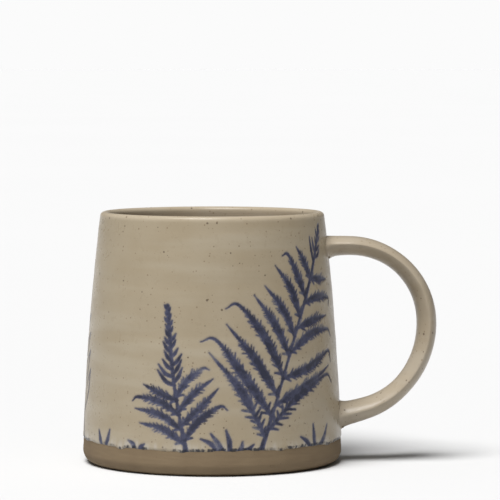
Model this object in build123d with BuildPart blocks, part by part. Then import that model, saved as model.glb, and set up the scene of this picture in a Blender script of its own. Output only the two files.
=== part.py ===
"""Stoneware mug with a pulled loop handle, in millimetres.

The mug stands on Z = 0 with its axis on Z, and the handle points along +X. It is built up as it is in the pottery:
a turned clay cup, a pulled clay handle luted to it with slip at two joints, and the glaze coats over them. The lower
band of the cup and its underside stay bare clay.
"""

from build123d import *
import os

# Cup, measured over the glaze
HEIGHT = 94.4
FOOT_RADIUS = 49.25  # where the wall's line would meet the table, before the foot's corner is rounded
BELLY_RADIUS = 47.72
BELLY_HEIGHT = 30.5
SHOULDER_RADIUS = 45.5
SHOULDER_HEIGHT = 61.0  # above this the wall curves in more towards the rim
RIM_RADIUS = 41.95
FOOT_ROUND = 4.6
RIM_ROUND = 1.6

# Inside of the cup
RIM_THICKNESS = 3.4
INNER_MIDDLE_RADIUS = 42.5
INNER_MIDDLE_HEIGHT = 45.0
INNER_FLOOR_RADIUS = 44.35  # where the inner wall's line would meet the floor, before that corner is rounded
FLOOR = 6.5
FLOOR_ROUND = 9.0

# Glaze
GLAZE = 0.35
GLAZE_LINE = 9.3  # the bare band is below this height

# Handle's centre line: a chain of tangent arcs, from the upper root round to the lower one
UPPER_ROOT_RADIUS = 41.8  # the line starts inside the wall, at this distance from the cup's axis
UPPER_ROOT_HEIGHT = 81.3
UPPER_ROOT_SLOPE = 3.2  # degrees above the horizontal
HANDLE_ARCS = [  # (radius, degrees turned)
    (140.0, 4.3),
    (29.1, 85.0),
    (34.6, 47.2),
    (30.6, 28.6),
    (86.8, 8.6),
]

# Handle's section, over the glaze
HANDLE_THICKNESS = 7.4  # in the plane of the loop
HANDLE_WIDTH = 15.0  # across it
SLIP_FLARE = 1.3  # how far the slip stands out round each root
SLIP_TUCK = 0.4  # how far a collar's narrow end sinks into the handle
UPPER_SLIP_LENGTH = 7.8  # along the handle's centre line, from its end inside the wall
LOWER_SLIP_LENGTH = 13.0

# Construction
AXIS_OVERLAP = 5.0  # how far a section runs past the axis before it is trimmed there
CLEAR = 2.0  # how far a trimming shape runs past what it trims

# The cup's sections are drawn on the side away from the handle, so the revolved faces' seams lie clear of its roots.
SECTION_PLANE = Plane(origin=(0, 0, 0), x_dir=(-1, 0, 0), z_dir=(0, 1, 0))


def cup_profile(inset):
    """The cup's whole section on both sides of its skin, shrunk all round by inset."""
    with BuildSketch(SECTION_PLANE) as profile:
        with BuildLine():
            underside = Line((-AXIS_OVERLAP, inset), (FOOT_RADIUS - inset, inset))
            lower_wall = ThreePointArc(
                underside @ 1, (BELLY_RADIUS - inset, BELLY_HEIGHT), (SHOULDER_RADIUS - inset, SHOULDER_HEIGHT)
            )
            upper_wall = TangentArc(lower_wall @ 1, (RIM_RADIUS - inset, HEIGHT - inset), tangent=lower_wall % 1)
            rim_top = Line(upper_wall @ 1, (RIM_RADIUS - RIM_THICKNESS + inset, HEIGHT - inset))
            inner_wall = ThreePointArc(
                rim_top @ 1,
                (INNER_MIDDLE_RADIUS + inset, INNER_MIDDLE_HEIGHT),
                (INNER_FLOOR_RADIUS + inset, FLOOR - inset),
            )
            inner_floor = Line(inner_wall @ 1, (-AXIS_OVERLAP, FLOOR - inset))
            Line(inner_floor @ 1, underside @ 0)
        make_face()
        foot_corner = profile.vertices().sort_by_distance(underside @ 1)[0]
        fillet(foot_corner, FOOT_ROUND - inset)
        floor_corner = profile.vertices().sort_by_distance(inner_wall @ 1)[0]
        fillet(floor_corner, FLOOR_ROUND + inset)
        outer_lip = profile.vertices().sort_by_distance(rim_top @ 0)[0]
        fillet(outer_lip, RIM_ROUND - inset)
        inner_lip = profile.vertices().sort_by_distance(rim_top @ 1)[0]
        fillet(inner_lip, RIM_ROUND - inset)
        with Locations((0, HEIGHT / 2)):
            Rectangle(2 * FOOT_RADIUS, 2 * HEIGHT, align=(Align.MIN, Align.CENTER), mode=Mode.INTERSECT)
    return profile.sketch_local


glazed_profile = cup_profile(0)
shrunk_profile = cup_profile(GLAZE)

# What lies inside the middle of the wall: it parts the liner glaze from the outer glaze at the crest of the rim.
with BuildSketch(SECTION_PLANE) as core_section:
    with BuildLine():
        core_floor = Line((-AXIS_OVERLAP, FLOOR / 2), ((FOOT_RADIUS + INNER_FLOOR_RADIUS) / 2, FLOOR / 2))
        core_wall = ThreePointArc(
            core_floor @ 1,
            ((BELLY_RADIUS + INNER_MIDDLE_RADIUS) / 2, INNER_MIDDLE_HEIGHT),
            (RIM_RADIUS - RIM_THICKNESS / 2, HEIGHT),
        )
        core_rise = Line(core_wall @ 1, core_wall @ 1 + Vector(0, CLEAR))
        core_top = Line(core_rise @ 1, (-AXIS_OVERLAP, HEIGHT + CLEAR))
        Line(core_top @ 1, core_floor @ 0)
    make_face()

# The bare band and the underside, where the clay itself comes out to the surface
with BuildSketch(SECTION_PLANE) as bare_section:
    add(glazed_profile)
    with Locations((0, GLAZE_LINE / 2)):
        Rectangle(4 * FOOT_RADIUS, GLAZE_LINE, mode=Mode.INTERSECT)
    add(core_section.sketch_local, mode=Mode.SUBTRACT)

with BuildSketch(SECTION_PLANE) as clay_section:
    add(shrunk_profile)
    add(bare_section.sketch_local)

with BuildSketch(SECTION_PLANE) as liner_section:
    add(glazed_profile)
    add(core_section.sketch_local, mode=Mode.INTERSECT)
    add(clay_section.sketch_local, mode=Mode.SUBTRACT)

with BuildSketch(SECTION_PLANE) as outer_glaze_section:
    add(glazed_profile)
    add(core_section.sketch_local, mode=Mode.SUBTRACT)
    add(clay_section.sketch_local, mode=Mode.SUBTRACT)

# --- The handle's centre line, and the planes across it -------------------------------------------------------------

with BuildLine(Plane.XZ) as handle_line:
    heading = Vector(1, 0, 0).rotate(Axis.Y, -UPPER_ROOT_SLOPE)
    start = Vector(UPPER_ROOT_RADIUS, 0, UPPER_ROOT_HEIGHT)
    for arc_radius, turn in HANDLE_ARCS:
        arc = JernArc(start=start, tangent=heading, radius=arc_radius, arc_size=-turn)
        start = arc @ 1
        heading = arc % 1

centre_line = handle_line.wire()


def across_handle(distance):
    """The plane across the handle at a distance along its centre line, its local X in the plane of the loop."""
    share = distance / centre_line.length
    along = centre_line % share
    return Plane(origin=centre_line @ share, x_dir=Vector(0, 1, 0).cross(along), z_dir=along)


def handle_section(plane, growth):
    """The handle's oval on a plane, grown all round over its bare clay."""
    half_thickness = HANDLE_THICKNESS / 2 - GLAZE + growth
    half_width = HANDLE_WIDTH / 2 - GLAZE + growth
    with BuildSketch(plane) as section:
        Ellipse(half_thickness, half_width)
    return section.sketch


def handle_form(growth):
    """The bare handle, or with growth, what a coat of that thickness over it fills."""
    oval = handle_section(across_handle(0), growth)
    with BuildPart() as form:
        add(oval)
        sweep(path=centre_line)
    return form.part


def slip_collar(at_wall, at_handle, growth):
    """The tapered collar of slip round a root, from its wide end inside the wall to where it meets the handle."""
    wide_end = handle_section(across_handle(at_wall), SLIP_FLARE + growth)
    narrow_end = handle_section(across_handle(at_handle), growth - SLIP_TUCK)
    with BuildPart() as collar:
        add(wide_end)
        add(narrow_end)
        loft(ruled=True)
    return collar.part


UPPER_COLLAR = (0.0, UPPER_SLIP_LENGTH)
LOWER_COLLAR = (centre_line.length, centre_line.length - LOWER_SLIP_LENGTH)

bare_form = handle_form(0)
coated_form = handle_form(GLAZE)
bare_collars = [slip_collar(*UPPER_COLLAR, 0), slip_collar(*LOWER_COLLAR, 0)]
coated_collars = [slip_collar(*UPPER_COLLAR, GLAZE), slip_collar(*LOWER_COLLAR, GLAZE)]

# --- The pieces -----------------------------------------------------------------------------------------------------

with BuildPart() as cup_body:
    add(clay_section.sketch)
    revolve(axis=Axis.Z)

with BuildPart() as handle:
    add(bare_form)
    add(cup_body.part, mode=Mode.SUBTRACT)

with BuildPart() as upper_slip_joint:
    add(bare_collars[0])
    add(bare_form, mode=Mode.SUBTRACT)
    add(cup_body.part, mode=Mode.SUBTRACT)

with BuildPart() as lower_slip_joint:
    add(bare_collars[1])
    add(bare_form, mode=Mode.SUBTRACT)
    add(cup_body.part, mode=Mode.SUBTRACT)

with BuildPart() as handle_glaze:
    add(coated_form)
    add(coated_collars)
    add(bare_form, mode=Mode.SUBTRACT)
    add(bare_collars, mode=Mode.SUBTRACT)
    add(cup_body.part, mode=Mode.SUBTRACT)

with BuildPart() as liner_glaze:
    add(liner_section.sketch)
    revolve(axis=Axis.Z)

with BuildPart() as outer_glaze:
    add(outer_glaze_section.sketch)
    revolve(axis=Axis.Z)
    add(coated_form, mode=Mode.SUBTRACT)
    add(coated_collars, mode=Mode.SUBTRACT)

PIECES = {
    "cup_body": cup_body,
    "handle": handle,
    "upper_slip_joint": upper_slip_joint,
    "lower_slip_joint": lower_slip_joint,
    "liner_glaze": liner_glaze,
    "outer_glaze": outer_glaze,
    "handle_glaze": handle_glaze,
}

os.makedirs("parts", exist_ok=True)
for name, piece in PIECES.items():
    piece.part.label = name
    export_step(piece.part, f"parts/{name}.step")
    print(name, len(piece.part.solids()), "solids", round(piece.part.volume), "mm3")
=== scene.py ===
"""Looks for the stoneware mug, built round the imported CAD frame.

Lengths in the constants and the modelling functions are millimetres, and mesh_piece turns them into
metres. The stage's lengths are metres. The mug stands on Z = 0 with its axis on Z. A place on the wall is
given as (around, height): around is the distance along the wall at WRAP_RADIUS from the line that faces
the camera, positive towards the handle, which is on +X.
"""

import math

import bpy
import numpy as np
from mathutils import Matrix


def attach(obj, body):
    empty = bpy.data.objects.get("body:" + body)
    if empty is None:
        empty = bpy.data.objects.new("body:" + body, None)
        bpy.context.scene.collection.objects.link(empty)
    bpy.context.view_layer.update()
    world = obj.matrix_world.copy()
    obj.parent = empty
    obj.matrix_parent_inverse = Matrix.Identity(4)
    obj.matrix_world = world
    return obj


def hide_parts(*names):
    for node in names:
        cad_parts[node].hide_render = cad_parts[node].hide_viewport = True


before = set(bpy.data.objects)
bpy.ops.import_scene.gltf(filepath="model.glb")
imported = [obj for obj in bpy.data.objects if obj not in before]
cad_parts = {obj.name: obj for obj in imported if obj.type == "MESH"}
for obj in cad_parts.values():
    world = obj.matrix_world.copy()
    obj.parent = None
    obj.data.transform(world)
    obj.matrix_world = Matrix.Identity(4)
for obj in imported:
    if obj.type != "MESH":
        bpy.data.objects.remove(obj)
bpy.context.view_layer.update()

MM = 0.001
TAU = 2 * math.pi

# --- Sizes ----------------------------------------------------------------------------------------

HEIGHT = 94.4
FOOT_RADIUS = 49.25
BELLY = (47.72, 30.5)  # (radius, height)
SHOULDER = (45.5, 61.0)
RIM_RADIUS = 41.95
FOOT_ROUND = 4.6  # the corner between the band and the underside
LIP_RADIUS = 1.7
LIP_EASE = 0.15  # how far outside the lip's inner edge the inner wall starts
INNER_MIDDLE = (42.5, 45.0)
INNER_FOOT = (44.35, 6.5)
FLOOR = 6.5
FLOOR_ROUND = 9.0  # the corner between the inner wall and the floor
GLAZE = 0.35
GLAZE_LINE = 9.3
BAND_STEP = 0.22  # how far the bare band lies inside the glaze's surface
COAT_OVERLAP = 5.0  # how far the outer coat runs down inside the lip
RING_DEPTH = 0.022
WANDER_DEPTH = 0.07
LINE_WAVE = 0.28  # how far the glaze line swings up and down
LINE_RAGGED = 0.12
DRIP_LENGTH = 1.6

UPPER_ROOT = (41.8, 81.3)
UPPER_ROOT_SLOPE = 3.2
# (radius, degrees turned), from the upper root to the lower one
HANDLE_ARCS = ((140.0, 4.3), (29.1, 85.0), (34.6, 47.2), (30.6, 28.6), (86.8, 8.6))
HANDLE_HALF_WIDTH = 7.5
# Half the handle's thickness in the plane of the loop, at even steps from the upper root to the lower one
HANDLE_HALF_THICKNESS = (3.7, 3.35, 3.75, 3.55, 4.6)
HANDLE_EDGE_LIFT = 0.9  # how far outward the section's two edges lie from its middle
FLARE_HALF_THICKNESS = 3.6  # half the thickness of the section that the slip's flare grows from
# The lump of slip under each root: (centre, half sizes)
UPPER_LUMP = ((43.7, -3.7, 77.5), (0.5, 0.9, 0.5))
LOWER_LUMP = ((49.0, -3.6, 13.3), (0.6, 1.0, 0.5))
LUMP_SEED = 50
# The rows of the handle's grid that each collar of slip covers
UPPER_SLIP_ROWS = slice(2, 12)
LOWER_SLIP_ROWS = slice(-16, -2)

# The steps of the grids and of the sections that they are made from
CELL = 0.4  # the outer coat's grid
WALL_STEP = 0.5
LIP_STEP = 0.3
FLOOR_STEP = 0.8
BACK_SHARE = 4  # a coat's back has one column for this many in front
COAT_BACK_CELL = 2.0
LINER_CELL = 0.9
LINE_REACH = 9.0  # how far above the glaze line the rows still follow its wave
WRAP_RADIUS = 46.5
FERN_DEPTH = 0.24
FERN_EDGE = 0.035  # the faint burr round the print

# The stage, in metres and degrees
FLOOR_REACH = 200.0
FLOOR_LEVEL = -0.00005
FLOOR_GREY = (0.64, 0.64, 0.64)
KEY_STRENGTH = 4.5
KEY_RISE = 65
KEY_TURN = 28
KEY_SPREAD = 34
HORIZON = 0.965
HORIZON_LEFT = 0.40
HORIZON_RIGHT = 0.15
SKY_LEFT = 0.14
SKY_RIGHT = 0.02
SKY_TOP = 0.30
CAMERA_SENSOR = 36.0  # millimetres, as the lens is
CAMERA_LENS = 220.1
CAMERA_SHIFT = (0.0756, 0.1735)
CAMERA_AWAY = 1.150
CAMERA_HEIGHT = 0.1485
CAMERA_FALL = 0.1015  # how far its line of sight falls on the way to the mug's axis


# --- Small tools ----------------------------------------------------------------------------------


def circle_through(a, b, c):
    """Centre (radius, height) and radius of the circle through three points."""
    (ax, ay), (bx, by), (cx, cy) = a, b, c
    d = 2 * (ax * (by - cy) + bx * (cy - ay) + cx * (ay - by))
    a2, b2, c2 = ax * ax + ay * ay, bx * bx + by * by, cx * cx + cy * cy
    x = (a2 * (by - cy) + b2 * (cy - ay) + c2 * (ay - by)) / d
    y = (a2 * (cx - bx) + b2 * (ax - cx) + c2 * (bx - ax)) / d
    return x, y, math.hypot(ax - x, ay - y)


def tangent_circle(circle, at, through):
    """The circle that touches another at a point and passes through a second point."""
    x, y, radius = circle
    nx, ny = (at[0] - x) / radius, (at[1] - y) / radius
    dx, dy = at[0] - through[0], at[1] - through[1]
    reach = (dx * dx + dy * dy) / (2 * (dx * nx + dy * ny))
    return at[0] - nx * reach, at[1] - ny * reach, abs(reach)


LOWER_WALL = circle_through((FOOT_RADIUS, 0.0), BELLY, SHOULDER)
UPPER_WALL = tangent_circle(LOWER_WALL, SHOULDER, (RIM_RADIUS, HEIGHT))
INNER_RIM = (RIM_RADIUS - 2 * LIP_RADIUS + LIP_EASE, HEIGHT - LIP_RADIUS)
INNER_WALL = circle_through(INNER_RIM, INNER_MIDDLE, INNER_FOOT)


def on_circle(circle, height):
    """The circle's radius from the axis at a height, on its outer side."""
    x, y, radius = circle
    return x + np.sqrt(radius * radius - (height - y) ** 2)


def outer_radius(height):
    """The outer wall's radius at a height."""
    height = np.asarray(height, float)
    return np.where(height < SHOULDER[1], on_circle(LOWER_WALL, height), on_circle(UPPER_WALL, height))


def inner_radius(height):
    """The inner wall's radius at a height."""
    return on_circle(INNER_WALL, np.asarray(height, float))


def smooth(low, high, value):
    """0 below low, 1 above high and an eased step between them. low may be the larger."""
    share = np.clip((np.asarray(value, float) - low) / (high - low), 0, 1)
    return share * share * (3 - 2 * share)


def evened(path, step):
    """Points along a polyline at even steps of about the given length."""
    path = np.asarray(path, float)
    run = np.concatenate([[0], np.cumsum(np.hypot(*np.diff(path, axis=0).T))])
    count = max(2, int(round(run[-1] / step)) + 1)
    at = np.linspace(0, run[-1], count)
    return np.stack([np.interp(at, run, path[:, i]) for i in range(path.shape[1])], axis=1)


def path_normals(path):
    """Unit normals on the right of a path in the (radius, height) plane."""
    along = np.gradient(path, axis=0)
    along /= np.hypot(along[:, 0], along[:, 1])[:, None]
    return np.stack([along[:, 1], -along[:, 0]], axis=1)


def ripples(seed, count, low, high, turns=0):
    """A smooth random field of (turn, height) made of sines, about 1 at most.

    low and high bound the wavelengths up the wall, and turns the waves round it."""
    draw = np.random.default_rng(seed)
    waves = []
    for _ in range(count):
        wavelength = low * (high / low) ** draw.random()
        lobes = int(draw.integers(-turns, turns + 1)) if turns else 0
        waves.append((TAU / wavelength, lobes, TAU * draw.random()))

    def field(turn, height):
        total = 0
        for rate, lobes, phase in waves:
            total = total + np.sin(rate * height + lobes * turn + phase)
        return total / math.sqrt(count) * 0.7

    return field


def mesh_piece(name, points, faces, nodes, material, values=None):
    """A closed mesh from points in millimetres, riding on the one body and standing for CAD nodes."""
    mesh = bpy.data.meshes.new(name)
    mesh.from_pydata((np.asarray(points, float) * MM).tolist(), [], faces)
    mesh.polygons.foreach_set("use_smooth", np.ones(len(mesh.polygons), bool))
    for key, numbers in (values or {}).items():
        stored = mesh.attributes.new(key, "FLOAT", "POINT")
        stored.data.foreach_set("value", np.asarray(numbers, np.float32).ravel())
    mesh.materials.append(material)
    mesh.update()
    piece = bpy.data.objects.new(name, mesh)
    bpy.context.scene.collection.objects.link(piece)
    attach(piece, "root")
    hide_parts(*nodes)
    return piece


def grid_faces(rows, columns, first=0, flip=False):
    """Quads of a grid that closes round on its columns."""
    row, column = np.meshgrid(np.arange(rows - 1), np.arange(columns), indexing="ij")
    after = (column + 1) % columns
    here, above = row * columns, (row + 1) * columns
    corners = (here + column, here + after, above + after, above + column)
    quads = np.stack([c.ravel() for c in corners], axis=1) + first
    return (quads[:, ::-1] if flip else quads).tolist()


def bridge_faces(outer_first, outer_count, inner_first, inner_count, flip=False):
    """Faces between two rings, the outer with a whole number of points for each inner one."""
    share = outer_count // inner_count
    faces = []
    for j in range(inner_count):
        outer = [outer_first + (j * share + k) % outer_count for k in range(share + 1)]
        inner = [inner_first + (j + 1) % inner_count, inner_first + j]
        face = outer + inner
        faces.append(face if flip else face[::-1])
    return faces


def shell(outer, inner):
    """Points and faces of a closed coat between two grids (rows, columns, 3), the inner one the coarser."""
    rows, columns = outer.shape[:2]
    inner_rows, inner_columns = inner.shape[:2]
    first = rows * columns
    faces = grid_faces(rows, columns)
    faces += grid_faces(inner_rows, inner_columns, first, flip=True)
    faces += bridge_faces(0, columns, first, inner_columns)
    last_outer, last_inner = (rows - 1) * columns, first + (inner_rows - 1) * inner_columns
    faces += bridge_faces(last_outer, columns, last_inner, inner_columns, flip=True)
    return np.concatenate([outer.reshape(-1, 3), inner.reshape(-1, 3)]), faces


def capped(grid, pole, first, flip=False):
    """Triangles that close a grid's last row on one point."""
    rows, columns = grid.shape[:2]
    base = first + (rows - 1) * columns
    faces = [[base + j, base + (j + 1) % columns, pole] for j in range(columns)]
    return [face[::-1] for face in faces] if flip else faces


def solid_tube(grid):
    """Points and faces of a grid closed by a cap at each end."""
    rows, columns = grid.shape[:2]
    count = rows * columns
    points = np.concatenate([grid.reshape(-1, 3), [grid[0].mean(axis=0)], [grid[-1].mean(axis=0)]])
    faces = grid_faces(rows, columns)
    faces += [[(j + 1) % columns, j, count] for j in range(columns)]
    faces += capped(grid, count + 1, 0)
    return points, faces


def revolved(radii, heights, columns):
    """A grid of points round the axis. radii and heights are (rows,) or (rows, columns)."""
    turn = np.arange(columns) * TAU / columns
    radii = np.broadcast_to(np.reshape(radii, (len(radii), -1)), (len(radii), columns))
    heights = np.broadcast_to(np.reshape(heights, (len(heights), -1)), (len(heights), columns))
    return np.stack([radii * np.sin(turn), -radii * np.cos(turn), heights], axis=2)


# --- Ferns ----------------------------------------------------------------------------------------
# Generic fern fronds. A frond is a stem with blades, and a blade is a rib with pointed leaflets down both
# sides. Places are (around, height), from a blade's root to its tip.

FERN_SEED = 11
STEM_FOOT = 8.5  # just under the glaze line
STEM_RADII = (1.0, 0.6, 0.7, 0.85, 0.9)
STEM_INK = 0.7
BARE_STEM = 0.07  # the share of the stem below the first blade
BLADE_TAIL = 0.16  # the share of a blade, at its end, that has no leaflets
BLADE_TIP = 0.3
BLADE_CORE = 0.68  # the least radius of a blade before its end
BLADE_RIB = 0.9  # the rib's radius where the leaflets stand apart
CROWN_INK = 0.85
LOOP_INK = 0.2
PRINT_MARGIN = 1.4  # how far round a stroke its distance is worked out
ROW_SLACK = 1.2  # how far a row's height may differ round the mug
FAR = 9.0  # a distance to the print that is out of its reach


def curve_through(points, step=0.4):
    """A smooth line through a few points (Catmull-Rom)."""
    p = np.asarray(points, float)
    p = np.concatenate([[2 * p[0] - p[1]], p, [2 * p[-1] - p[-2]]])
    line = []
    for a, b, c, d in zip(p, p[1:], p[2:], p[3:]):
        for t in np.arange(0, 1, step / max(np.hypot(*(c - b)), step)):
            square = (2 * a - 5 * b + 4 * c - d) * t**2
            cube = (3 * b - a - 3 * c + d) * t**3
            line.append(0.5 * (2 * b + (c - a) * t + square + cube))
    line.append(p[-2])
    return np.array(line)


def bowed(start, end, bow):
    """Three points from start to end, the middle one off to the left by bow."""
    start, end = np.asarray(start, float), np.asarray(end, float)
    across = np.array([start[1] - end[1], end[0] - start[0]]) / np.hypot(*(end - start))
    return start, (start + end) / 2 + bow * across, end


def run_along(line):
    """The distance along a line to each of its points."""
    return np.concatenate([[0], np.cumsum(np.hypot(*np.diff(line, axis=0).T))])


class Print:
    """The signed distances, in millimetres, to the fern print on the wall's grid. Negative is inside."""

    def __init__(self, around, height, seed):
        self.around, self.height = around, height
        self.width = TAU * WRAP_RADIUS
        self.distance = np.full(height.shape, FAR)
        self.ink = np.full(height.shape, 0.5)
        self.draw = np.random.default_rng(seed)

    def stroke(self, a, b, radius_a, radius_b, ink):
        """Adds a tapered stroke from a to b."""
        reach = max(radius_a, radius_b) + PRINT_MARGIN
        low, high = np.minimum(a, b) - reach, np.maximum(a, b) + reach
        first = self.height[:, 0]
        rows = np.flatnonzero((first > low[1] - ROW_SLACK) & (first < high[1] + ROW_SLACK))
        columns = np.flatnonzero(((self.around[0] - low[0]) % self.width) < high[0] - low[0])
        if not len(rows) or not len(columns):
            return
        cells = np.ix_(rows, columns)
        across = (self.around[cells] - a[0] + self.width / 2) % self.width - self.width / 2
        up = self.height[cells] - a[1]
        along = b - a
        share = np.clip((across * along[0] + up * along[1]) / max(along @ along, 1e-6), 0, 1)
        gap = np.hypot(across - share * along[0], up - share * along[1])
        gap = gap - (radius_a + (radius_b - radius_a) * share)
        nearer = gap < self.distance[cells]
        self.distance[cells] = np.where(nearer, gap, self.distance[cells])
        self.ink[cells] = np.where(nearer, ink, self.ink[cells])

    def line(self, points, radii, ink):
        """Adds a smooth line whose radius runs through the given ones."""
        line = curve_through(points)
        run = run_along(line)
        radii = np.interp(run / run[-1], np.linspace(0, 1, len(radii)), radii)
        for a, b, radius_a, radius_b in zip(line, line[1:], radii, radii[1:]):
            self.stroke(a, b, radius_a, radius_b, ink)
        return line

    def blade(self, points, width, ink, parted):
        """Adds a blade. width is its greatest half-width.

        parted is the share, from the root, whose leaflets stand apart on a thin rib."""
        line = curve_through(points)
        run = run_along(line)
        length = run[-1]

        def outline(share):
            apart = smooth(parted + 0.1, parted - 0.02, share)
            taper = 1 - 0.92 * smooth(0.5, 1 - BLADE_TAIL * 0.7, share)
            return width * (0.72 + 0.28 * smooth(0, 0.3, share) + 0.2 * apart) * taper

        def solid_radius(share):
            apart = smooth(parted + 0.1, parted - 0.02, share)
            solid = outline(share) * 0.66 * (0.7 + 0.3 * smooth(0, 0.2, share))
            least = BLADE_CORE + (BLADE_TIP - BLADE_CORE) * smooth(1 - BLADE_TAIL, 1, share)
            return np.maximum(solid * (1 - apart) + BLADE_RIB * apart, least)

        radii = solid_radius(run / length)
        for a, b, radius_a, radius_b in zip(line, line[1:], radii, radii[1:]):
            self.stroke(a, b, radius_a, radius_b, ink + 0.06)
        for side in (-1, 1):
            place = self.draw.uniform(0.5, 1.6)
            while place < length * (1 - BLADE_TAIL):
                share = place / length
                at = np.array([np.interp(place, run, line[:, i]) for i in (0, 1)])
                further = min(place + 0.6, length)
                ahead = np.array([np.interp(further, run, line[:, i]) for i in (0, 1)]) - at
                direction = math.atan2(ahead[1], ahead[0])
                lean = side * math.radians(self.draw.uniform(34, 52) + (10 if share < parted else 0))
                reach = (float(outline(share)) + 0.2) * self.draw.uniform(0.8, 1.2)
                reach /= math.sin(abs(lean)) ** 0.6
                end = at + reach * np.array([math.cos(direction + lean), math.sin(direction + lean)])
                root, point = (0.8, 0.42) if share < parted else (0.85 - 0.3 * share, 0.26)
                self.stroke(at, end, root, point, ink + side * -0.14 + self.draw.uniform(-0.1, 0.1))
                place += self.draw.uniform(1.2, 1.75) + (0.9 if share < parted else 0.0)

    def crown(self, stem, low, longest):
        """Adds the short leaflets that close up towards a frond's tip, above the given height."""
        heights = stem[:, 1]
        top = heights.max()
        place, side = low, 1
        while place < top - 0.8:
            share = (place - low) / (top - low)
            index = int(np.argmin(abs(heights - place)))
            ahead = stem[min(index + 3, len(stem) - 1)] - stem[max(index - 3, 0)]
            direction = math.atan2(ahead[1], ahead[0])
            lean = side * math.radians(self.draw.uniform(42, 62) - 10 * share)
            reach = (longest * (1 - share) ** 1.8 + 2.0 - 0.6 * share) * self.draw.uniform(0.75, 1.2)
            tip = stem[index] + reach * np.array([math.cos(direction + lean), math.sin(direction + lean)])
            tip[1] += 0.22 * reach
            middle = (stem[index] + tip) / 2
            middle[1] -= 0.17 * reach
            ink = CROWN_INK - 0.25 * self.draw.random()
            self.line((stem[index], middle, tip), (0.8, 0.85 - 0.15 * share, 0.35), ink)
            side = -side
            place += self.draw.uniform(1.0, 1.35) + 0.45 * (1 - share)

    def loop(self, root, tip, width):
        """Adds a plain leaf in outline."""
        self.line(bowed(root, tip, width), (0.4, 0.45, 0.5), LOOP_INK)
        self.line(bowed(root, tip, -width), (0.4, 0.55, 0.5), LOOP_INK + 0.15)


def blade_path(mark, root, length, angle, side):
    """A blade's places: bowed a little, and now and then with a tip that curls over."""
    bow, curl = mark.draw.uniform(-0.03, 0.11), mark.draw.uniform(0, 1)
    tip = root + length * np.array([math.cos(angle), math.sin(angle)])
    path = list(bowed(root, tip, -side * bow * length))
    if curl > 0.55:
        hook = angle + side * math.radians(95 * curl)
        path.append(tip + 0.17 * length * np.array([math.cos(hook), math.sin(hook)]))
    return path


def fern_frond(mark, foot, tip, counts, longest, bow, spreads, top, crown_length, width):
    """A whole fern frond from a foot on the glaze line.

    counts and spreads (degrees from the stem) are for the blades on its left and its right. top is the
    share of the stem that the blades reach, and the crown closes up the rest."""
    stem = mark.line(bowed((foot, STEM_FOOT), tip, bow), STEM_RADII, STEM_INK)
    last = len(stem) - 1
    for side, count, spread in zip((1, -1), counts, spreads):
        for k in range(count):
            share = BARE_STEM + (top - BARE_STEM) * (k + 0.25 * (side < 0)) / count
            index = int(share * last)
            ahead = stem[min(index + 4, last)] - stem[max(index - 4, 0)]
            along = math.atan2(ahead[1], ahead[0])
            off = spread[0] + (spread[1] - spread[0]) * share + mark.draw.uniform(-4, 4)
            angle = along + side * math.radians(off)
            length = longest * (1 - share) ** 0.75 * mark.draw.uniform(0.88, 1.08)
            path = blade_path(mark, stem[index], length, angle, side)
            parted = 0.3 if k == 0 and longest > 30 else 0.08
            thick = width * (0.72 + 0.28 * (1 - share))
            mark.blade(path, thick, mark.draw.uniform(0.52, 0.76), parted)
    mark.crown(stem, STEM_FOOT + top * (stem[:, 1].max() - STEM_FOOT), crown_length)


def tuft(mark, foot, count, longest):
    """A few short leaves that fan out from a foot on the glaze line."""
    for k in range(count):
        angle = math.radians(150 - 120 * (k + 0.5) / count + mark.draw.uniform(-12, 12))
        reach = longest * mark.draw.uniform(0.55, 1.0)
        root = np.array([foot + (k - count / 2) * 1.8, STEM_FOOT])
        tip = root + reach * np.array([math.cos(angle), math.sin(angle)])
        mark.line(bowed(root, tip, mark.draw.uniform(-1, 1)), (0.8, 1.0, 0.4), mark.draw.uniform(0.4, 0.7))


def plain_frond(mark, foot, tip, count, longest):
    """A frond of plain leaves in outline, in turn on its left and its right."""
    stem = mark.line(bowed((foot, STEM_FOOT), tip, 1.5), (0.8, 0.35), 0.35)
    for k in range(count):
        share = 0.2 + 0.72 * k / count
        root = stem[int(share * (len(stem) - 1))]
        side = 1 if k % 2 else -1
        length = longest * (1 - share) ** 0.35
        angle = math.radians(103 + side * 38 - 4 * k)
        mark.loop(root, root + length * np.array([math.cos(angle), math.sin(angle)]), 2.0)
    mark.loop(stem[-1], stem[-1] + (-2.5, 11), 1.6)


def print_ferns(around, height):
    """Draws every frond on the wall's grid."""
    mark = Print(around, height, FERN_SEED)
    tall = {"counts": (9, 7), "longest": 40, "bow": 3.0, "spreads": ((56, 60), (40, 68))}
    fern_frond(mark, 17, (55, 90), **tall, top=0.84, crown_length=5.0, width=2.6)
    small = {"counts": (4, 4), "longest": 21, "bow": 1.0, "spreads": ((60, 52), (56, 48))}
    fern_frond(mark, -9, (-17, 62), **small, top=0.46, crown_length=4.6, width=2.0)
    for foot, count, longest in ((7, 5, 9), (42, 3, 12), (-44, 2, 8), (-27, 2, 5)):
        tuft(mark, foot, count, longest)
    plain_frond(mark, -64, (-78, 62), count=8, longest=20)

    # Fronds round the side that faces away, in the same style
    for foot, lean, size in ((-105, -1, 1.0), (98, 1, 0.92), (142, 0, 0.42)):
        tip = (foot + 30 * lean * size, STEM_FOOT + 74 * size)
        back = {"counts": (8, 8), "longest": 31 * size, "bow": -2.5 * lean, "spreads": ((50, 54), (50, 54))}
        fern_frond(mark, foot, tip, **back, top=0.8, crown_length=4.5 * size, width=2.2 * size**0.5)
    return mark


# --- Node tools -----------------------------------------------------------------------------------


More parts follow.
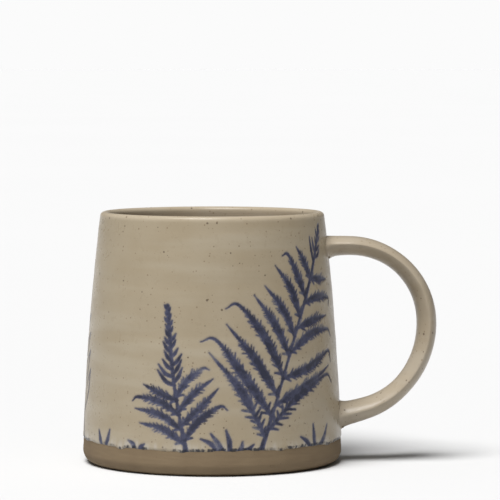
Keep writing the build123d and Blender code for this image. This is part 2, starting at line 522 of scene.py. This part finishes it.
class Shader:
    """A material and short ways to add nodes to it."""

    def __init__(self, name):
        self.material = bpy.data.materials.new(name)
        self.material.use_nodes = True
        self.tree = self.material.node_tree
        self.bsdf = self.tree.nodes["Principled BSDF"]
        self.place = self.node("ShaderNodeTexCoord").outputs["Object"]

    def put(self, socket, value):
        """Links a socket or sets a value."""
        if isinstance(value, bpy.types.NodeSocket):
            self.tree.links.new(value, socket)
        elif isinstance(value, tuple) and len(value) == 3 and len(socket.default_value) == 4:
            socket.default_value = (*value, 1)
        else:
            socket.default_value = value

    def node(self, kind, settings=None, **inputs):
        """Adds a node. Each input is given by its name, with _ for a space."""
        made = self.tree.nodes.new(kind)
        for key, value in (settings or {}).items():
            setattr(made, key, value)
        for key, value in inputs.items():
            self.put(made.inputs[key.replace("_", " ")], value)
        return made

    def maths(self, operation, a, b, clamp=False):
        """The result of a sum on two values."""
        made = self.node("ShaderNodeMath", {"operation": operation, "use_clamp": clamp})
        self.put(made.inputs[0], a)
        self.put(made.inputs[1], b)
        return made.outputs[0]

    def step(self, low, high, value, to_low=0.0, to_high=1.0):
        """An eased step of value from low to high."""
        made = self.node("ShaderNodeMapRange", {"interpolation_type": "SMOOTHSTEP"}, Value=value)
        for key, number in (("From Min", low), ("From Max", high), ("To Min", to_low), ("To Max", to_high)):
            self.put(made.inputs[key], number)
        return made.outputs[0]

    def noise(self, size, detail=2.0, rough=0.5, stretch=None):
        """Noise from 0 to 1 with features of about a size in millimetres, stretched along some axes."""
        place = self.place
        if stretch:
            place = self.node("ShaderNodeMapping", Vector=place, Scale=stretch).outputs[0]
        scale = 1 / (size * MM)
        made = self.node("ShaderNodeTexNoise", Vector=place, Scale=scale, Detail=detail, Roughness=rough)
        return made.outputs[0]

    def mix(self, share, a, b, blend="MIX"):
        """Colour a with a share of colour b over it."""
        made = self.node("ShaderNodeMix", {"data_type": "RGBA", "blend_type": blend})
        self.put(made.inputs[0], share)
        self.put(made.inputs[6], a)
        self.put(made.inputs[7], b)
        return made.outputs[2]

    def value(self, name):
        """A number stored on the mesh's points."""
        return self.node("ShaderNodeAttribute", {"attribute_name": name}).outputs["Fac"]

    def specks(self, spacing, largest, share):
        """Round specks: 1 inside. spacing and largest (radius) are millimetres.

        share is that of the cells that have one."""
        scale = 1 / (spacing * MM)
        cells = self.node("ShaderNodeTexVoronoi", Vector=self.place, Scale=scale, Randomness=1.0)
        pick = self.node("ShaderNodeSeparateColor", Color=cells.outputs["Color"])
        size = self.maths("MULTIPLY", pick.outputs[1], largest / spacing)
        uneven = self.maths("SUBTRACT", self.noise(0.35), 0.5)
        ragged = self.maths("MULTIPLY", uneven, 0.35 * largest / spacing)
        gap = self.maths("SUBTRACT", self.maths("ADD", cells.outputs["Distance"], ragged), size)
        inside = self.step(0.06 / spacing, -0.08 / spacing, gap)
        return self.maths("MULTIPLY", inside, self.maths("LESS_THAN", pick.outputs[0], share))

    def bump(self, height, distance, strength):
        """A bumped normal. distance is in millimetres."""
        made = self.node("ShaderNodeBump", Height=height, Distance=distance * MM, Strength=strength)
        return made.outputs[0]

    def finish(self, colour, rough, normal, **others):
        """Fills in the surface and returns the material."""
        self.put(self.bsdf.inputs["Base Color"], colour)
        self.put(self.bsdf.inputs["Roughness"], rough)
        self.put(self.bsdf.inputs["Normal"], normal)
        for key, value in others.items():
            self.put(self.bsdf.inputs[key.replace("_", " ")], value)
        return self.material


CREAM = (0.395, 0.330, 0.230)
CREAM_WARM = (0.370, 0.304, 0.205)
CREAM_PALE = (0.445, 0.388, 0.290)
HAZE = (0.470, 0.455, 0.425)
IRON = (0.075, 0.050, 0.032)
RUST = (0.150, 0.090, 0.045)
# Painted light and shade: levels that multiply the one glaze's colour. It is darkest on the wall, less dark
# and a little bluer on the handle, and lighter inside and on the lip.
WALL_PAINTED_SHADE = (0.83, 0.83, 0.84)
INSIDE_PAINTED_LIGHT = (1.10, 1.10, 1.18)
HANDLE_PAINTED_SHADE = (0.895, 0.905, 0.975)
# Painted highlight on the lip's top
LIP_PAINTED_LIGHT = (0.99, 1.00, 1.06)
INK_DARK = (0.021, 0.024, 0.046)
INK_MIDDLE = (0.047, 0.052, 0.094)
INK_PALE = (0.100, 0.106, 0.146)
LINE_BLACK = (0.020, 0.022, 0.032)
CLAY = (0.190, 0.140, 0.085)
CLAY_DARK = (0.160, 0.115, 0.070)
CLAY_PALE = (0.228, 0.175, 0.112)


def print_layer(s, colour, rough):
    """The fern print over a glaze colour: its ink, worn and pooled, and a faint halo."""
    fuzz = s.maths("MULTIPLY", s.maths("SUBTRACT", s.noise(0.5, 2), 0.5), 0.4)
    distance = s.maths("ADD", s.value("fern"), fuzz)
    inside = s.step(0.28, -0.3, distance)
    worn = s.maths("MULTIPLY", s.maths("SUBTRACT", s.noise(3.4, 4, 0.66), 0.5), 1.7)
    rim = s.step(-1.1, 0.0, distance, 0.13, -0.12)
    depth = s.maths("ADD", s.maths("ADD", s.value("ink"), worn), rim, clamp=True)
    tint = s.mix(s.step(0.1, 0.6, depth), INK_PALE, INK_MIDDLE)
    tint = s.mix(s.step(0.55, 1.0, depth), tint, INK_DARK)
    colour = s.mix(s.step(1.0, 0.0, distance, 0, 0.16), colour, INK_PALE)
    colour = s.mix(s.maths("MULTIPLY", inside, s.step(0.0, 0.45, depth, 0.72, 0.97)), colour, tint)
    return colour, s.maths("ADD", rough, s.maths("MULTIPLY", inside, 0.06))


def haze_layer(s, colour):
    """Streaky pale haze where the glaze thins out above its lower edge."""
    streaks = s.noise(1.6, 2, 0.5, stretch=(1, 1, 0.22))
    patches = s.step(0.38, 0.56, s.noise(11, 2))
    share = s.maths("MULTIPLY", s.step(0.35, 0.65, streaks, 0.20, 0.55), patches)
    return s.mix(s.maths("MULTIPLY", s.step(4.6, 0.9, s.value("above_line")), share), colour, HAZE)


def line_layer(s, colour):
    """The broken dark line on the glaze's lower edge."""
    patches = s.step(0.30, 0.46, s.noise(14, 2))
    broken = s.maths("MULTIPLY", s.step(0.40, 0.54, s.noise(1.9, 3, 0.6, stretch=(1, 1, 0.2))), patches)
    ragged = s.maths("MULTIPLY", s.maths("SUBTRACT", s.noise(0.8), 0.5), 1.1)
    line = s.maths("MULTIPLY", s.step(1.5, 0.9, s.maths("ADD", s.value("above_line"), ragged)), broken)
    return s.mix(s.maths("MULTIPLY", line, 0.92), colour, LINE_BLACK)


def glaze_material(name, coat, printed=False):
    """Satin cream glaze with soft bands and iron specks.

    coat multiplies its colour as painted light and shade, one level for each part, and the lip's top is
    painted lighter. printed adds the fern print, the haze, the glaze line and the inside's painted lighter
    level on the rows inside the lip."""
    s = Shader(name)
    cloud = s.noise(14, 3)
    bands = s.noise(7, 2, stretch=(0.12, 0.12, 1))
    grain = s.noise(0.8, 3, 0.6)
    colour = s.mix(s.step(0.3, 0.75, cloud), CREAM, CREAM_WARM)
    colour = s.mix(s.step(0.42, 0.72, bands, 0, 0.6), colour, CREAM_PALE)
    colour = s.mix(s.step(0.58, 0.80, grain, 0, 0.12), colour, IRON)
    large, small = s.specks(3.0, 0.5, 0.6), s.specks(1.5, 0.34, 0.5)
    colour = s.mix(s.maths("MULTIPLY", small, 0.55), colour, RUST)
    colour = s.mix(s.maths("MULTIPLY", large, 0.7), colour, IRON)
    rough = s.step(0.3, 0.8, s.noise(3, 2), 0.27, 0.37)
    if printed:
        # Painted light: the rows inside the lip take the inside's lighter level.
        coat = s.mix(s.value("inside"), coat, INSIDE_PAINTED_LIGHT)
    # Painted highlight: the glaze is painted lighter over the lip's top.
    up = s.node("ShaderNodeSeparateXYZ", Vector=s.place).outputs["Z"]
    coat = s.mix(s.step((HEIGHT - 2.6) * MM, (HEIGHT - 1.0) * MM, up), coat, LIP_PAINTED_LIGHT)
    # The painted light and shade level multiplies the glaze's colour.
    colour = s.mix(1.0, colour, coat, "MULTIPLY")
    if printed:
        colour = haze_layer(s, colour)
        colour, rough = print_layer(s, colour, rough)
        colour = line_layer(s, colour)
    pits = s.maths("ADD", s.maths("MULTIPLY", grain, 0.35), s.maths("MULTIPLY", s.noise(2.6, 2), 0.65))
    normal = s.bump(pits, 0.03, 0.5)
    return s.finish(colour, rough, normal, Specular_IOR_Level=0.18, Coat_Weight=0.06, Coat_Roughness=0.22)


def clay_material(name, dark=False):
    """Bare fired stoneware: matt and fine grained, with faint turning marks."""
    s = Shader(name)
    cloud = s.noise(12, 3)
    grain = s.noise(0.5, 4, 0.65)
    turned = s.noise(1.1, 3, 0.6, stretch=(0.05, 0.05, 1))
    base = tuple(c * 0.7 for c in CLAY) if dark else CLAY
    colour = s.mix(s.step(0.35, 0.7, cloud, 0, 0.6), base, CLAY_DARK)
    colour = s.mix(s.step(0.55, 0.8, grain, 0, 0.3), colour, CLAY_PALE)
    colour = s.mix(s.step(0.5, 0.3, grain, 0, 0.25), colour, CLAY_DARK)
    colour = s.mix(s.step(0.45, 0.75, turned, 0, 0.25), colour, CLAY_DARK)
    colour = s.mix(s.maths("MULTIPLY", s.specks(1.9, 0.3, 0.3), 0.35), colour, IRON)
    height = s.maths("ADD", s.maths("MULTIPLY", grain, 0.6), s.maths("MULTIPLY", turned, 0.5))
    normal = s.bump(height, 0.07, 0.6)
    return s.finish(colour, s.step(0.3, 0.8, grain, 0.78, 0.92), normal, Specular_IOR_Level=0.2)


# --- The wall's skin ------------------------------------------------------------------------------

rings = ripples(3, 9, 6.0, 20.0)
wander = ripples(5, 8, 18.0, 60.0, turns=3)
wave = ripples(7, 7, 40.0, 90.0, turns=9)


def wall_relief(turn, height):
    """Throwing rings and the slight unevenness of a hand-finished wall, outward in millimetres."""
    drift = wander(turn, height)
    return RING_DEPTH * rings(turn, height + 0.6 * drift) + WANDER_DEPTH * drift


def line_height(turn):
    """The height of the glaze's lower edge round the mug."""
    drips = DRIP_LENGTH * np.maximum(0, np.sin(7 * turn + 0.6) * np.sin(17 * turn + 2.0) - 0.55)
    ragged = LINE_RAGGED * np.sin(31 * turn) * np.sin(5 * turn + 1)
    return GLAZE_LINE + LINE_WAVE * wave(turn, 0.0) + ragged - drips


def lip_path(inset):
    """The lip's half round from the outer wall to the inner one, and the wall's last height below it."""
    rise = (outer_radius(HEIGHT - 1.4) - outer_radius(HEIGHT - 1.6)) / 0.2
    tilt = math.atan(-rise)
    joint_height = HEIGHT - LIP_RADIUS * (1 - math.sin(tilt))
    joint = np.array([float(outer_radius(joint_height)), joint_height])
    centre = joint - LIP_RADIUS * np.array([math.cos(tilt), math.sin(tilt)])
    angles = np.linspace(tilt, math.radians(185), 24)
    arc = centre + (LIP_RADIUS - inset) * np.stack([np.cos(angles), np.sin(angles)], axis=1)
    return arc, joint_height


def outer_path(inset, low, overlap):
    """The coat's section from a low height up the wall, over the lip and down inside."""
    arc, top = lip_path(inset)
    heights = np.arange(low, top, WALL_STEP)
    wall = np.stack([outer_radius(heights) - inset, heights], axis=1)
    down = np.arange(arc[-1, 1] - LIP_STEP, HEIGHT - LIP_RADIUS - overlap, -LIP_STEP)
    inside = np.stack([inner_radius(down) + inset, down], axis=1)
    return np.concatenate([wall, arc, inside])


def build_outer_glaze(material):
    """The dipped outer coat, with the fern print, the rings, the glaze line and the lip."""
    columns = int(TAU * WRAP_RADIUS / CELL / BACK_SHARE) * BACK_SHARE
    turn = np.arange(columns) * TAU / columns
    around = ((turn * WRAP_RADIUS + math.pi * WRAP_RADIUS) % (TAU * WRAP_RADIUS)) - math.pi * WRAP_RADIUS
    path = evened(outer_path(0.0, GLAZE_LINE, COAT_OVERLAP), CELL)
    normals = path_normals(path)
    rows = len(path)
    turns = np.broadcast_to(turn, (rows, columns))
    heights = np.broadcast_to(path[:, 1:], (rows, columns))
    run = np.arange(rows)[:, None] * CELL
    # The lowest rows move with the wavy glaze line, and less and less so above it.
    shift = (line_height(turns) - GLAZE_LINE) * (1 - smooth(0, LINE_REACH, run))
    heights = heights + shift
    # The print ends at the lip's top, so the rows inside it are out of its reach.
    row = np.arange(rows)[:, None]
    top_row = int(np.argmax(path[:, 1]))
    print_heights = np.where(row > top_row, 2 * HEIGHT, heights)
    mark = print_ferns(np.broadcast_to(around, (rows, columns)), print_heights)
    # The wall's relief fades out below the lip, which takes up the last rows.
    lip_rows = 35
    on_wall = smooth(rows - lip_rows, rows - lip_rows - 4, np.arange(rows))[:, None]
    relief = wall_relief(turns, heights) * on_wall
    edge = mark.distance
    relief = relief - FERN_DEPTH * smooth(0.22, -0.5, edge)
    relief = relief + FERN_EDGE * smooth(1.0, 0.3, edge) * smooth(-0.1, 0.3, edge)
    relief = relief * smooth(0.0, 1.0, run)
    # The coat ends in a rounded bead at the glaze line and feathers out inside the lip.
    bead = -GLAZE * (1 - np.sqrt(smooth(-0.05, 0.9, run)))
    bead = bead + 0.06 * smooth(0.2, 0.9, run) * smooth(3.0, 1.0, run)
    feather = -0.08 * smooth(rows - 9, rows - 3, row) - 0.2 * smooth(rows - 3, rows - 1, row)
    out = relief + bead + feather
    radii = path[:, :1] + out * normals[:, :1]
    heights = heights + out * normals[:, 1:]
    outer = revolved(radii, heights, columns)

    # The back of the coat is coarser. It follows the glaze line, and the relief where that goes inward.
    inner_columns = columns // BACK_SHARE
    inner_path = evened(outer_path(GLAZE, GLAZE_LINE, COAT_OVERLAP), COAT_BACK_CELL)
    inner_turn = np.arange(inner_columns) * TAU / inner_columns
    inner_run = np.arange(len(inner_path))[:, None] * COAT_BACK_CELL
    inner_shift = (line_height(inner_turn) - GLAZE_LINE) * (1 - smooth(0, LINE_REACH, inner_run))
    inner_heights = inner_path[:, 1:] + inner_shift
    inner_relief = wall_relief(np.broadcast_to(inner_turn, inner_shift.shape), inner_heights)
    fade = smooth(HEIGHT - 2, HEIGHT - 4, inner_path[:, 1:]) * smooth(0, 1, inner_run)
    inner_radii = inner_path[:, :1] + np.minimum(inner_relief, 0) * fade - 0.02
    inner = revolved(inner_radii, inner_heights, inner_columns)
    points, faces = shell(outer, inner)

    # What the material reads, with a plain value on the points of the back
    extra = inner.shape[0] * inner.shape[1]
    past_top = np.broadcast_to(row > top_row, (rows, columns))
    values = {
        "fern": np.concatenate([np.clip(edge, -3, 3).ravel(), np.full(extra, 3.0)]),
        "ink": np.concatenate([mark.ink.ravel(), np.full(extra, 0.5)]),
        "above_line": np.concatenate([np.broadcast_to(run, (rows, columns)).ravel(), np.full(extra, 20.0)]),
        "inside": np.concatenate([past_top.ravel(), np.zeros(extra)]),
    }
    return mesh_piece("outer_glaze_coat", points, faces, ["outer_glaze"], material, values)


def floor_path(inset, start):
    """The inside's section from the wall at a height down round the corner and in to the axis."""
    corner_height = FLOOR + FLOOR_ROUND
    heights = np.arange(start, corner_height, -FLOOR_STEP)
    wall = np.stack([inner_radius(heights) + inset, heights], axis=1)
    centre = np.array([float(inner_radius(corner_height)) - FLOOR_ROUND, corner_height])
    angles = np.linspace(0, -math.pi / 2, 18)
    corner = centre + (FLOOR_ROUND + inset) * np.stack([np.cos(angles), np.sin(angles)], axis=1)
    radii = np.arange(corner[-1, 0] - FLOOR_STEP, FLOOR_STEP / 2, -FLOOR_STEP)
    base = np.stack([radii, np.full(len(radii), FLOOR - inset)], axis=1)
    return np.concatenate([wall, corner, base])


def build_liner(material):
    """The glaze inside, from under the lip down the wall and over the floor."""
    columns = 288
    back_columns = columns // BACK_SHARE
    start = HEIGHT - LIP_RADIUS - 0.5
    turn = np.arange(columns) * TAU / columns
    path = evened(floor_path(0.0, start), LINER_CELL)
    normals = path_normals(path)
    turns = np.broadcast_to(turn, (len(path), columns))
    run = np.arange(len(path))[:, None] * LINER_CELL
    # Throwing rings run up the wall and spiral in over the floor.
    spiral = np.sin(run / 3.4 * TAU * 0.5 + turns) * 0.06 + np.sin(run / 7.1 * TAU * 0.5 + 1.3) * 0.05
    end = len(path) * LINER_CELL
    swirl = spiral * smooth(8, 50, run) * smooth(end, end - 4, run)
    # Under the outer coat's edge it lies a little deeper.
    swirl = swirl - 0.03 * smooth(12, 7, run)
    surface = revolved(path[:, :1] + swirl * normals[:, :1], path[:, 1:] + swirl * normals[:, 1:], columns)
    back_path = evened(floor_path(GLAZE, start), 3 * LINER_CELL)
    back = revolved(back_path[:, 0], back_path[:, 1], back_columns)
    count, back_count = surface.shape[0] * columns, back.shape[0] * back_columns
    pole, back_pole = count + back_count, count + back_count + 1
    poles = [(0, 0, FLOOR), (0, 0, FLOOR - GLAZE)]
    points = np.concatenate([surface.reshape(-1, 3), back.reshape(-1, 3), poles])
    faces = grid_faces(surface.shape[0], columns)
    faces += capped(surface, pole, 0)
    faces += grid_faces(back.shape[0], back_columns, count, flip=True)
    faces += capped(back, back_pole, count, flip=True)
    faces += bridge_faces(0, columns, count, back_columns)
    return mesh_piece("liner_glaze_coat", points, faces, ["liner_glaze"], material)


def build_clay(material):
    """The fired clay cup: its bare band and foot show, and the rest lies under the glaze."""
    columns = 360
    turn = np.arange(columns) * TAU / columns
    foot_edge = FOOT_RADIUS - FOOT_ROUND
    underside = [(radius, 0.0) for radius in np.arange(1.5, foot_edge, 1.5)]
    angles = np.radians(np.linspace(-90, -4, 14))
    centre = np.array([float(outer_radius(FOOT_ROUND)) - FOOT_ROUND - BAND_STEP, FOOT_ROUND])
    corner = centre + FOOT_ROUND * np.stack([np.cos(angles), np.sin(angles)], axis=1)
    band_heights = np.arange(FOOT_ROUND, GLAZE_LINE + 1.6, WALL_STEP)
    band = np.stack([outer_radius(band_heights) - BAND_STEP, band_heights], axis=1)
    band[-1, 0] -= GLAZE
    wall = outer_path(GLAZE + 0.25, GLAZE_LINE + 3.0, 2.0)
    inside = floor_path(GLAZE + 0.2, HEIGHT - LIP_RADIUS - 5.0)
    path = np.concatenate([underside, corner, band, wall[::4], inside[::2]])
    normals = path_normals(path)
    heights, radii = path[:, 1:], path[:, :1]
    turns = np.broadcast_to(turn, (len(path), columns))
    # Fine roughness and turning marks, only where the clay is bare
    grit = ripples(21, 10, 1.2, 5.0, turns=40)
    marks = ripples(22, 6, 2.0, 9.0)
    rough = grit(turns, heights) * 0.035 + marks(turns, heights) * 0.03
    shown = smooth(GLAZE_LINE + 1.5, GLAZE_LINE + 0.5, heights) * smooth(foot_edge - 4, foot_edge, radii)
    shown = shown * smooth(0.05, 1.5, heights)
    out = (rough - 0.03) * shown
    grid = revolved(radii + out * normals[:, :1], heights + out * normals[:, 1:], columns)
    points, faces = solid_tube(grid)
    return mesh_piece("clay_cup", points, faces, ["cup_body"], material)


# --- The handle -----------------------------------------------------------------------------------


def handle_line(step=0.6):
    """The handle's centre line as even points (x, z), with its unit direction at each."""
    angle = math.radians(UPPER_ROOT_SLOPE)
    points = [UPPER_ROOT]
    x, z = UPPER_ROOT
    for radius, turned in HANDLE_ARCS:
        count = max(4, int(radius * math.radians(turned) / 0.1))
        for _ in range(count):
            part = math.radians(turned) / count
            x += radius * part * math.cos(angle - part / 2)
            z += radius * part * math.sin(angle - part / 2)
            angle -= part
            points.append((x, z))
    line = evened(points, step)
    along = np.gradient(line, axis=0)
    return line, along / np.hypot(along[:, 0], along[:, 1])[:, None]


HANDLE_POINTS, HANDLE_ALONG = handle_line()
HANDLE_COLUMNS = 96


def handle_skin(inset, flared):
    """The handle's surface as a grid (rows, columns, 3), with or without the slip's flare at its roots."""
    rows = len(HANDLE_POINTS)
    share = np.linspace(0, 1, rows)
    steps = np.linspace(0, 1, len(HANDLE_HALF_THICKNESS))
    half_thickness = np.interp(share, steps, HANDLE_HALF_THICKNESS)
    evening = 8  # rows to each side that the thickness is evened over
    kernel = np.hanning(2 * evening + 1)
    padded = np.pad(half_thickness, evening, mode="edge")
    half_thickness = np.convolve(padded, kernel / kernel.sum(), mode="valid")
    uneven = ripples(31, 6, 9.0, 40.0)
    half_width = HANDLE_HALF_WIDTH + 0.12 * uneven(0, share * 110)
    phi = -np.arange(HANDLE_COLUMNS) * TAU / HANDLE_COLUMNS
    lens = np.cos(phi) * np.abs(np.cos(phi)) ** 0.35
    out_in_plane = np.stack([-HANDLE_ALONG[:, 1], HANDLE_ALONG[:, 0]], axis=1)
    lift = HANDLE_EDGE_LIFT * smooth(0.85, 0.5, share)[:, None] * np.sin(phi) ** 2
    thick = (half_thickness[:, None] - inset) * lens + lift
    wide = (half_width[:, None] - inset) * np.sin(phi)
    x = HANDLE_POINTS[:, :1] + out_in_plane[:, :1] * thick
    z = HANDLE_POINTS[:, 1:] + out_in_plane[:, 1:] * thick
    grid = np.stack([x, wide, z], axis=2)
    if flared:
        # The slip flares out where the handle comes near the wall, and most on the upper root's inner side.
        gap = np.hypot(grid[..., 0], grid[..., 1]) - outer_radius(np.clip(grid[..., 2], 0, HEIGHT))
        lower = (share > 0.5)[:, None]
        size = np.where(lower, 1.0, 1.1)
        reach = np.where(lower, 1.4, 1.6)
        grow = size * np.exp(-np.clip(gap, -1.2, 40) / reach)
        grow = grow * np.where(lower, 1.0, 1.3 - 1.15 * smooth(-0.5, 0.6, np.cos(phi)))
        # It grows along the normals of the section's ellipse.
        across, along = np.cos(phi) / FLARE_HALF_THICKNESS, np.sin(phi) / HANDLE_HALF_WIDTH
        norm = np.hypot(across, along)
        grid[..., 0] += grow * out_in_plane[:, :1] * (across / norm)
        grid[..., 2] += grow * out_in_plane[:, 1:] * (across / norm)
        grid[..., 1] += grow * (along / norm)
    return grid


def build_handle(glaze, clay):
    """The handle's clay and the glaze over it, which also covers the slip at its roots."""
    coat = handle_skin(0.0, flared=True)
    under = handle_skin(GLAZE, flared=True)
    points, faces = shell(coat, under)
    mesh_piece("handle_glaze_coat", points, faces, ["handle_glaze"], glaze)
    points, faces = solid_tube(handle_skin(GLAZE + 0.02, flared=False))
    mesh_piece("clay_handle", points, faces, ["handle"], clay)


def nub(centre, size):
    """A small uneven lump of slip: points and faces."""
    rows, columns = 9, 14
    draw = np.random.default_rng(LUMP_SEED)
    theta = np.linspace(0, math.pi, rows + 2)[1:-1]
    phi = np.arange(columns) * TAU / columns
    lumps = 1 + 0.16 * draw.standard_normal((rows, columns))
    radii = lumps * np.sin(theta)[:, None]
    grid = np.stack([radii * np.cos(phi), radii * np.sin(phi), np.cos(theta)[:, None] * lumps], axis=2)
    return solid_tube(grid[::-1] * size + centre)


def build_slip(name, node, rows, lump, clay):
    """A collar of slip round a root, between the clay handle and the glaze, and the lump under it.

    rows are those of the handle's grid that it covers."""
    outer = handle_skin(GLAZE + 0.04, flared=True)[rows]
    inner = handle_skin(GLAZE + 0.02, flared=False)[rows]
    points, faces = shell(outer, inner)
    lump_points, lump_faces = nub(*lump)
    faces += [[i + len(points) for i in face] for face in lump_faces]
    mesh_piece(name, np.concatenate([points, lump_points]), faces, [node], clay)


# --- Stage ----------------------------------------------------------------------------------------


def floor_piece():
    """A plain pale floor that runs on past anything the camera sees."""
    count = 96
    turns = [TAU * k / count for k in range(count)]
    ring = [(FLOOR_REACH * math.cos(turn), FLOOR_REACH * math.sin(turn), FLOOR_LEVEL) for turn in turns]
    faces = [[k, (k + 1) % count, count] for k in range(count)]
    mesh = bpy.data.meshes.new("floor")
    mesh.from_pydata([*ring, (0, 0, FLOOR_LEVEL)], [], faces)
    s = Shader("floor")
    colour = s.mix(s.noise(900, 2), FLOOR_GREY, tuple(c * 1.02 for c in FLOOR_GREY))
    mesh.materials.append(s.finish(colour, 0.9, s.bump(s.noise(2, 2), 0.01, 0.1), Specular_IOR_Level=0.0))
    floor = bpy.data.objects.new("floor", mesh)
    bpy.context.scene.collection.objects.link(floor)


def key_light():
    """A broad soft light, high on the left of the camera."""
    data = bpy.data.lights.new("key", "SUN")
    data.energy = KEY_STRENGTH
    data.angle = math.radians(KEY_SPREAD)
    light = bpy.data.objects.new("key", data)
    light.rotation_euler = (math.radians(90 - KEY_RISE), 0, -math.radians(KEY_TURN))
    bpy.context.scene.collection.objects.link(light)


def surround():
    """A pale surround, bright at the horizon straight ahead and behind, and dim to the sides and above."""
    world = bpy.data.worlds.new("studio")
    bpy.context.scene.world = world
    world.use_nodes = True
    tree = world.node_tree
    background = tree.nodes["Background"]
    background.inputs["Color"].default_value = (1, 1, 1, 1)
    coordinate = tree.nodes.new("ShaderNodeTexCoord")
    split = tree.nodes.new("ShaderNodeSeparateXYZ")
    tree.links.new(coordinate.outputs["Generated"], split.inputs[0])

    def ramp(value, low, high, to_low, to_high):
        made = tree.nodes.new("ShaderNodeMapRange")
        made.interpolation_type = "SMOOTHSTEP"
        inputs = {"Value": value, "From Min": low, "From Max": high, "To Min": to_low, "To Max": to_high}
        for key, number in inputs.items():
            if isinstance(number, bpy.types.NodeSocket):
                tree.links.new(number, made.inputs[key])
            else:
                made.inputs[key].default_value = number
        return made.outputs[0]

    across = ramp(split.outputs["X"], -0.7, 0.5, SKY_LEFT, SKY_RIGHT)
    upper = ramp(split.outputs["Z"], 0.45, 0.95, across, SKY_TOP)
    low = ramp(split.outputs["X"], 0.10, 0.38, HORIZON, HORIZON_RIGHT)
    low = ramp(split.outputs["X"], -0.10, -0.5, low, HORIZON_LEFT)
    tree.links.new(ramp(split.outputs["Z"], 0.03, 0.16, low, upper), background.inputs["Strength"])


def camera():
    """A long lens, looking down by about 5 degrees, with the photograph's framing."""
    data = bpy.data.cameras.new("camera")
    data.sensor_width = CAMERA_SENSOR
    data.lens = CAMERA_LENS
    data.shift_x, data.shift_y = CAMERA_SHIFT
    eye = bpy.data.objects.new("camera", data)
    eye.location = (0, -CAMERA_AWAY, CAMERA_HEIGHT)
    eye.rotation_euler = (math.pi / 2 - math.atan2(CAMERA_FALL, CAMERA_AWAY), 0, 0)
    bpy.context.scene.collection.objects.link(eye)
    bpy.context.scene.camera = eye


# Three copies of one glaze that differ only in their painted light and shade
printed_glaze = glaze_material("printed_glaze", WALL_PAINTED_SHADE, printed=True)
inside_glaze = glaze_material("inside_glaze", INSIDE_PAINTED_LIGHT)
handle_glaze = glaze_material("handle_glaze", HANDLE_PAINTED_SHADE)
bare_clay = clay_material("bare_clay")
dark_slip = clay_material("dark_slip", dark=True)

build_outer_glaze(printed_glaze)
build_liner(inside_glaze)
build_clay(bare_clay)
build_handle(handle_glaze, bare_clay)
build_slip("upper_slip", "upper_slip_joint", UPPER_SLIP_ROWS, UPPER_LUMP, dark_slip)
build_slip("lower_slip", "lower_slip_joint", LOWER_SLIP_ROWS, LOWER_LUMP, dark_slip)

floor_piece()
key_light()
surround()
camera()
bpy.context.scene.view_settings.view_transform = "Standard"
